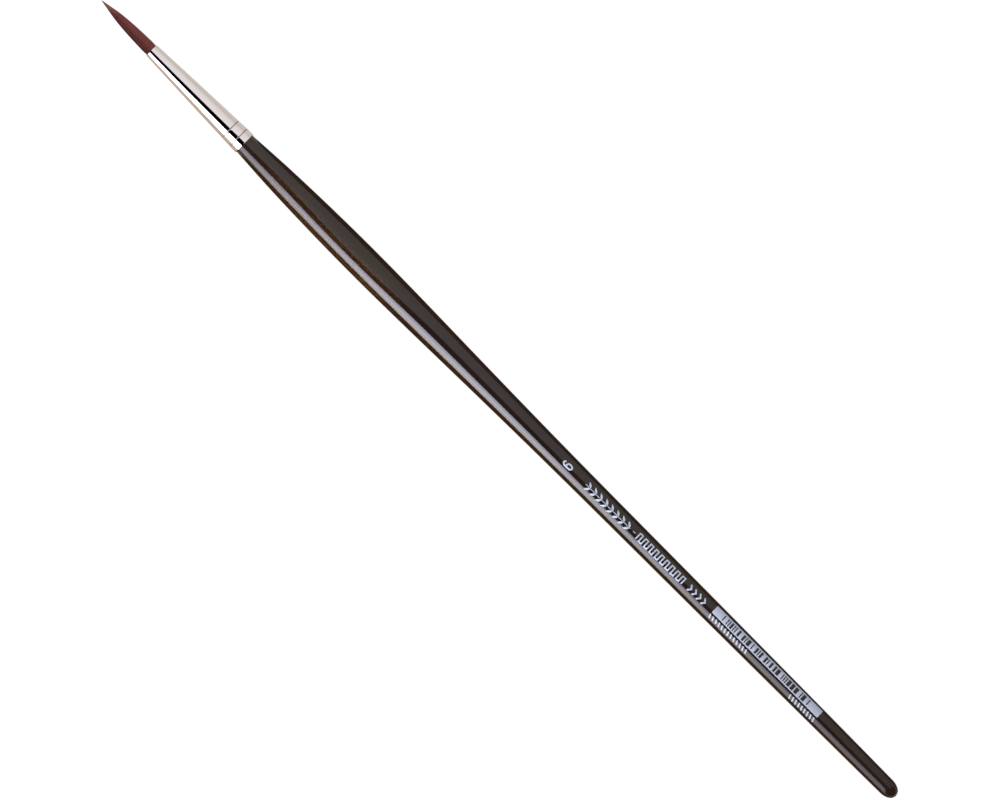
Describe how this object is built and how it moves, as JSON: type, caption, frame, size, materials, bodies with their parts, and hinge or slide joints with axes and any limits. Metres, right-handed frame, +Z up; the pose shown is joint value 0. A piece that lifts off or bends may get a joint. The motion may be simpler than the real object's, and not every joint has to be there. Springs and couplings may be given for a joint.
{
  "type": "round detail brush",
  "caption": "Long-handled pointed round brush: tapered hair tuft in a crimped metal ferrule on a lacquered wooden handle with a full belly and a long thin tail.",
  "frame": {"origin": "centre of the ferrule's rear rim, on the brush's axis, where metal meets wood", "axes": "+X along the axis towards the tip of the hairs; +Z up, the side that carries the printed marks as the brush lies; +Y completes a right-handed frame"},
  "size_m": [0.2926, 0.0087, 0.0088],
  "materials": {
    "lacquered_wood": "dark clear lacquer over stained wood, full gloss",
    "plated_metal": "polished nickel plate",
    "hair": "fine tapered filaments, satin",
    "thread": "waxed thread",
    "adhesive": "set resin, amber",
    "print_ink": "thin printed ink, pale blue grey"
  },
  "bodies": {
    "brush_body": {"handle": "lacquered_wood", "ferrule": "plated_metal", "tenon_adhesive": "adhesive", "hair_root": "hair", "root_binding": "thread", "root_cement": "adhesive"},
    "tuft_body": {"tuft": "hair"}
  },
  "joints": [
    {"name": "tuft_flex", "type": "hinge", "parent": "brush_body", "child": "tuft_body", "pos_m": [0.0366, 0, 0], "axis": [0, 0, 1], "range_deg": [-38, 38], "stiffness_Nm_per_rad": 0.002}
  ]
}
